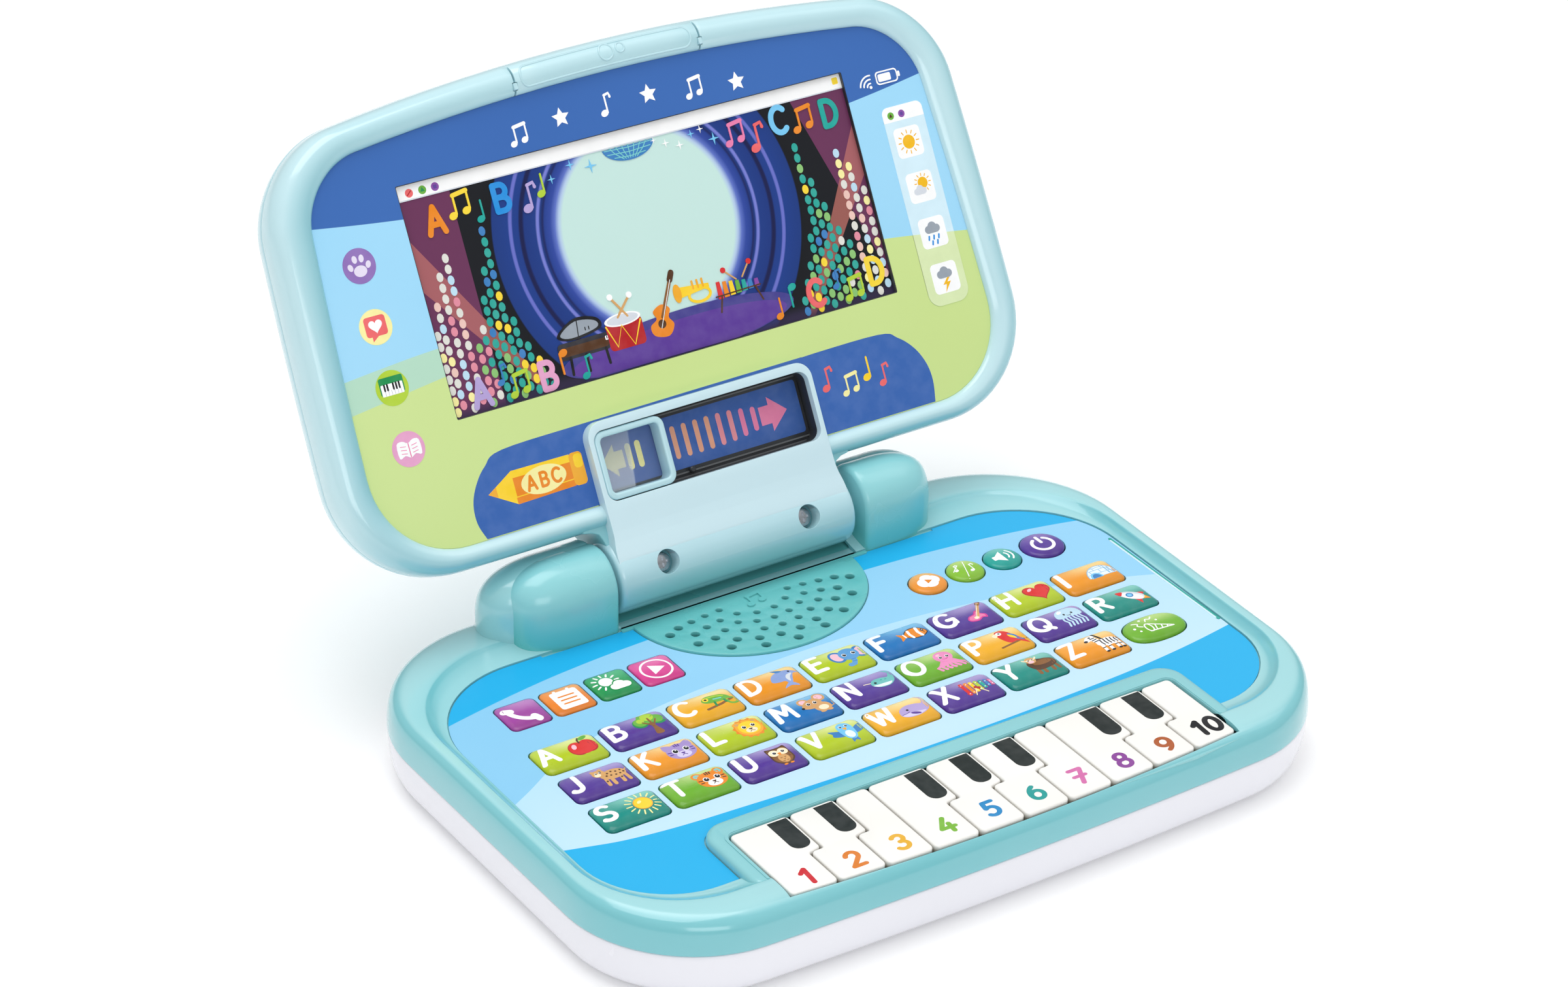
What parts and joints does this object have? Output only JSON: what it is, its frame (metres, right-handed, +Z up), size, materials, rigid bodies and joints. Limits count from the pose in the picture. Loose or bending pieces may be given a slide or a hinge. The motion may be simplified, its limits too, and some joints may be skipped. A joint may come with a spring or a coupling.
{
  "type": "toy laptop computer",
  "caption": "Clamshell toy laptop: printed letter keys, toy piano and speaker grille in a rounded base; hinged lid with picture screen and sliding frame.",
  "frame": {"origin": "middle of the base's flat underside, on the plane it rests on", "axes": "+Z up, +X to the user's right, +Y away from the user towards the hinge"},
  "size_m": [0.2624, 0.2538, 0.1815],
  "materials": {
    "lid_plastic": "moulded, glossy, pale aqua",
    "top_plastic": "moulded, glossy, teal",
    "tub_plastic": "moulded, satin, white",
    "film": "printed film, light and mid blue bands",
    "panel_print": "printed panel, sky blue over green",
    "screen_print": "printed picture behind a clear sheet",
    "board": "circuit board",
    "speaker_parts": "paper cone in a steel basket",
    "cell": "dry cell jacket",
    "pin_steel": "plain steel rod",
    "track_black": "dark insert",
    "piano_white": "moulded, glossy, white with dark inlay",
    "key_lime": "domed, glossy, printed",
    "key_purple": "domed, glossy, printed",
    "key_yellow": "domed, glossy, printed",
    "key_orange": "domed, glossy, printed",
    "key_blue": "domed, glossy, printed",
    "key_green": "domed, glossy, printed",
    "key_teal": "domed, glossy, printed",
    "app_violet": "domed, glossy, printed",
    "app_orange": "domed, glossy, printed",
    "app_green": "domed, glossy, printed",
    "app_pink": "domed, glossy, printed"
  },
  "bodies": {
    "base": {"base_bottom_shell": "tub_plastic", "base_top_shell": "top_plastic", "keypad_overlay": "film", "main_circuit_board": "board", "speaker": "speaker_parts", "battery_door": "tub_plastic", "battery_1": "cell", "battery_2": "cell", "hinge_pin": "pin_steel"},
    "lid": {"lid_front_frame": "lid_plastic", "lid_back_cover": "lid_plastic", "lid_print_panel": "panel_print", "screen_picture": "screen_print", "slider_track": "track_black"},
    "slider": {"slider_frame": "lid_plastic"},
    "letter_key_a": {"letter_key_a": "key_lime"},
    "letter_key_b": {"letter_key_b": "key_purple"},
    "letter_key_c": {"letter_key_c": "key_yellow"},
    "letter_key_d": {"letter_key_d": "key_orange"},
    "letter_key_e": {"letter_key_e": "key_lime"},
    "letter_key_f": {"letter_key_f": "key_blue"},
    "letter_key_g": {"letter_key_g": "key_purple"},
    "letter_key_h": {"letter_key_h": "key_lime"},
    "letter_key_i": {"letter_key_i": "key_orange"},
    "letter_key_j": {"letter_key_j": "key_purple"},
    "letter_key_k": {"letter_key_k": "key_orange"},
    "letter_key_l": {"letter_key_l": "key_lime"},
    "letter_key_m": {"letter_key_m": "key_blue"},
    "letter_key_n": {"letter_key_n": "key_purple"},
    "letter_key_o": {"letter_key_o": "key_green"},
    "letter_key_p": {"letter_key_p": "key_yellow"},
    "letter_key_q": {"letter_key_q": "key_purple"},
    "letter_key_r": {"letter_key_r": "key_teal"},
    "letter_key_s": {"letter_key_s": "key_teal"},
    "letter_key_t": {"letter_key_t": "key_green"},
    "letter_key_u": {"letter_key_u": "key_purple"},
    "letter_key_v": {"letter_key_v": "key_lime"},
    "letter_key_w": {"letter_key_w": "key_yellow"},
    "letter_key_x": {"letter_key_x": "key_purple"},
    "letter_key_y": {"letter_key_y": "key_teal"},
    "letter_key_z": {"letter_key_z": "key_orange"},
    "party_key": {"party_key": "key_green"},
    "app_key_phone": {"app_key_phone": "app_violet"},
    "app_key_notes": {"app_key_notes": "app_orange"},
    "app_key_weather": {"app_key_weather": "app_green"},
    "app_key_play": {"app_key_play": "app_pink"},
    "button_song": {"button_song": "key_orange"},
    "button_music": {"button_music": "key_green"},
    "button_volume": {"button_volume": "key_teal"},
    "button_power": {"button_power": "key_purple"},
    "piano_key_01": {"piano_key_01": "piano_white"},
    "piano_key_02": {"piano_key_02": "piano_white"},
    "piano_key_03": {"piano_key_03": "piano_white"},
    "piano_key_04": {"piano_key_04": "piano_white"},
    "piano_key_05": {"piano_key_05": "piano_white"},
    "piano_key_06": {"piano_key_06": "piano_white"},
    "piano_key_07": {"piano_key_07": "piano_white"},
    "piano_key_08": {"piano_key_08": "piano_white"},
    "piano_key_09": {"piano_key_09": "piano_white"},
    "piano_key_10": {"piano_key_10": "piano_white"}
  },
  "joints": [
    {"name": "lid_hinge", "type": "hinge", "parent": "base", "child": "lid", "pos_m": [0, 0.075, 0.0375], "axis": [-1, 0, 0], "range_deg": [-119.3, 8]},
    {"name": "frame_slide", "type": "slide", "parent": "lid", "child": "slider", "axis": [1, 0, 0], "range_m": [0, 0.053]},
    {"name": "piano_key_01_press", "type": "hinge", "parent": "base", "child": "piano_key_01", "pos_m": [-0.06775, -0.0415, 0.021], "axis": [1, 0, 0], "range_deg": [0, 2.2], "stiffness_Nm_per_rad": 0.4},
    {"name": "piano_key_02_press", "type": "hinge", "parent": "base", "child": "piano_key_02", "pos_m": [-0.0495, -0.0415, 0.021], "axis": [1, 0, 0], "range_deg": [0, 2.2], "stiffness_Nm_per_rad": 0.4},
    {"name": "piano_key_03_press", "type": "hinge", "parent": "base", "child": "piano_key_03", "pos_m": [-0.03575, -0.0415, 0.021], "axis": [1, 0, 0], "range_deg": [0, 2.2], "stiffness_Nm_per_rad": 0.4},
    {"name": "piano_key_04_press", "type": "hinge", "parent": "base", "child": "piano_key_04", "pos_m": [-0.01975, -0.0415, 0.021], "axis": [1, 0, 0], "range_deg": [0, 2.2], "stiffness_Nm_per_rad": 0.4},
    {"name": "piano_key_05_press", "type": "hinge", "parent": "base", "child": "piano_key_05", "pos_m": [-0.0015, -0.0415, 0.021], "axis": [1, 0, 0], "range_deg": [0, 2.2], "stiffness_Nm_per_rad": 0.4},
    {"name": "piano_key_06_press", "type": "hinge", "parent": "base", "child": "piano_key_06", "pos_m": [0.0145, -0.0415, 0.021], "axis": [1, 0, 0], "range_deg": [0, 2.2], "stiffness_Nm_per_rad": 0.4},
    {"name": "piano_key_07_press", "type": "hinge", "parent": "base", "child": "piano_key_07", "pos_m": [0.02825, -0.0415, 0.021], "axis": [1, 0, 0], "range_deg": [0, 2.2], "stiffness_Nm_per_rad": 0.4},
    {"name": "piano_key_08_press", "type": "hinge", "parent": "base", "child": "piano_key_08", "pos_m": [0.04425, -0.0415, 0.021], "axis": [1, 0, 0], "range_deg": [0, 2.2], "stiffness_Nm_per_rad": 0.4},
    {"name": "piano_key_09_press", "type": "hinge", "parent": "base", "child": "piano_key_09", "pos_m": [0.0625, -0.0415, 0.021], "axis": [1, 0, 0], "range_deg": [0, 2.2], "stiffness_Nm_per_rad": 0.4},
    {"name": "piano_key_10_press", "type": "hinge", "parent": "base", "child": "piano_key_10", "pos_m": [0.07625, -0.0415, 0.021], "axis": [1, 0, 0], "range_deg": [0, 2.2], "stiffness_Nm_per_rad": 0.4},
    {"name": "press_letter_key_a", "type": "slide", "parent": "base", "child": "letter_key_a", "axis": [0, 0, -1], "range_m": [0, 0.001], "stiffness_N_per_m": 300},
    {"name": "press_letter_key_b", "type": "slide", "parent": "base", "child": "letter_key_b", "axis": [0, 0, -1], "range_m": [0, 0.001], "stiffness_N_per_m": 300},
    {"name": "press_letter_key_c", "type": "slide", "parent": "base", "child": "letter_key_c", "axis": [0, 0, -1], "range_m": [0, 0.001], "stiffness_N_per_m": 300},
    {"name": "press_letter_key_d", "type": "slide", "parent": "base", "child": "letter_key_d", "axis": [0, 0, -1], "range_m": [0, 0.001], "stiffness_N_per_m": 300},
    {"name": "press_letter_key_e", "type": "slide", "parent": "base", "child": "letter_key_e", "axis": [0, 0, -1], "range_m": [0, 0.001], "stiffness_N_per_m": 300},
    {"name": "press_letter_key_f", "type": "slide", "parent": "base", "child": "letter_key_f", "axis": [0, 0, -1], "range_m": [0, 0.001], "stiffness_N_per_m": 300},
    {"name": "press_letter_key_g", "type": "slide", "parent": "base", "child": "letter_key_g", "axis": [0, 0, -1], "range_m": [0, 0.001], "stiffness_N_per_m": 300},
    {"name": "press_letter_key_h", "type": "slide", "parent": "base", "child": "letter_key_h", "axis": [0, 0, -1], "range_m": [0, 0.001], "stiffness_N_per_m": 300},
    {"name": "press_letter_key_i", "type": "slide", "parent": "base", "child": "letter_key_i", "axis": [0, 0, -1], "range_m": [0, 0.001], "stiffness_N_per_m": 300},
    {"name": "press_letter_key_j", "type": "slide", "parent": "base", "child": "letter_key_j", "axis": [0, 0, -1], "range_m": [0, 0.001], "stiffness_N_per_m": 300},
    {"name": "press_letter_key_k", "type": "slide", "parent": "base", "child": "letter_key_k", "axis": [0, 0, -1], "range_m": [0, 0.001], "stiffness_N_per_m": 300},
    {"name": "press_letter_key_l", "type": "slide", "parent": "base", "child": "letter_key_l", "axis": [0, 0, -1], "range_m": [0, 0.001], "stiffness_N_per_m": 300},
    {"name": "press_letter_key_m", "type": "slide", "parent": "base", "child": "letter_key_m", "axis": [0, 0, -1], "range_m": [0, 0.001], "stiffness_N_per_m": 300},
    {"name": "press_letter_key_n", "type": "slide", "parent": "base", "child": "letter_key_n", "axis": [0, 0, -1], "range_m": [0, 0.001], "stiffness_N_per_m": 300},
    {"name": "press_letter_key_o", "type": "slide", "parent": "base", "child": "letter_key_o", "axis": [0, 0, -1], "range_m": [0, 0.001], "stiffness_N_per_m": 300},
    {"name": "press_letter_key_p", "type": "slide", "parent": "base", "child": "letter_key_p", "axis": [0, 0, -1], "range_m": [0, 0.001], "stiffness_N_per_m": 300},
    {"name": "press_letter_key_q", "type": "slide", "parent": "base", "child": "letter_key_q", "axis": [0, 0, -1], "range_m": [0, 0.001], "stiffness_N_per_m": 300},
    {"name": "press_letter_key_r", "type": "slide", "parent": "base", "child": "letter_key_r", "axis": [0, 0, -1], "range_m": [0, 0.001], "stiffness_N_per_m": 300},
    {"name": "press_letter_key_s", "type": "slide", "parent": "base", "child": "letter_key_s", "axis": [0, 0, -1], "range_m": [0, 0.001], "stiffness_N_per_m": 300},
    {"name": "press_letter_key_t", "type": "slide", "parent": "base", "child": "letter_key_t", "axis": [0, 0, -1], "range_m": [0, 0.001], "stiffness_N_per_m": 300},
    {"name": "press_letter_key_u", "type": "slide", "parent": "base", "child": "letter_key_u", "axis": [0, 0, -1], "range_m": [0, 0.001], "stiffness_N_per_m": 300},
    {"name": "press_letter_key_v", "type": "slide", "parent": "base", "child": "letter_key_v", "axis": [0, 0, -1], "range_m": [0, 0.001], "stiffness_N_per_m": 300},
    {"name": "press_letter_key_w", "type": "slide", "parent": "base", "child": "letter_key_w", "axis": [0, 0, -1], "range_m": [0, 0.001], "stiffness_N_per_m": 300},
    {"name": "press_letter_key_x", "type": "slide", "parent": "base", "child": "letter_key_x", "axis": [0, 0, -1], "range_m": [0, 0.001], "stiffness_N_per_m": 300},
    {"name": "press_letter_key_y", "type": "slide", "parent": "base", "child": "letter_key_y", "axis": [0, 0, -1], "range_m": [0, 0.001], "stiffness_N_per_m": 300},
    {"name": "press_letter_key_z", "type": "slide", "parent": "base", "child": "letter_key_z", "axis": [0, 0, -1], "range_m": [0, 0.001], "stiffness_N_per_m": 300},
    {"name": "press_party_key", "type": "slide", "parent": "base", "child": "party_key", "axis": [0, 0, -1], "range_m": [0, 0.001], "stiffness_N_per_m": 300},
    {"name": "press_app_key_phone", "type": "slide", "parent": "base", "child": "app_key_phone", "axis": [0, 0, -1], "range_m": [0, 0.001], "stiffness_N_per_m": 300},
    {"name": "press_app_key_notes", "type": "slide", "parent": "base", "child": "app_key_notes", "axis": [0, 0, -1], "range_m": [0, 0.001], "stiffness_N_per_m": 300},
    {"name": "press_app_key_weather", "type": "slide", "parent": "base", "child": "app_key_weather", "axis": [0, 0, -1], "range_m": [0, 0.001], "stiffness_N_per_m": 300},
    {"name": "press_app_key_play", "type": "slide", "parent": "base", "child": "app_key_play", "axis": [0, 0, -1], "range_m": [0, 0.001], "stiffness_N_per_m": 300},
    {"name": "press_button_song", "type": "slide", "parent": "base", "child": "button_song", "axis": [0, 0, -1], "range_m": [0, 0.001], "stiffness_N_per_m": 300},
    {"name": "press_button_music", "type": "slide", "parent": "base", "child": "button_music", "axis": [0, 0, -1], "range_m": [0, 0.001], "stiffness_N_per_m": 300},
    {"name": "press_button_volume", "type": "slide", "parent": "base", "child": "button_volume", "axis": [0, 0, -1], "range_m": [0, 0.001], "stiffness_N_per_m": 300},
    {"name": "press_button_power", "type": "slide", "parent": "base", "child": "button_power", "axis": [0, 0, -1], "range_m": [0, 0.001], "stiffness_N_per_m": 300}
  ]
}
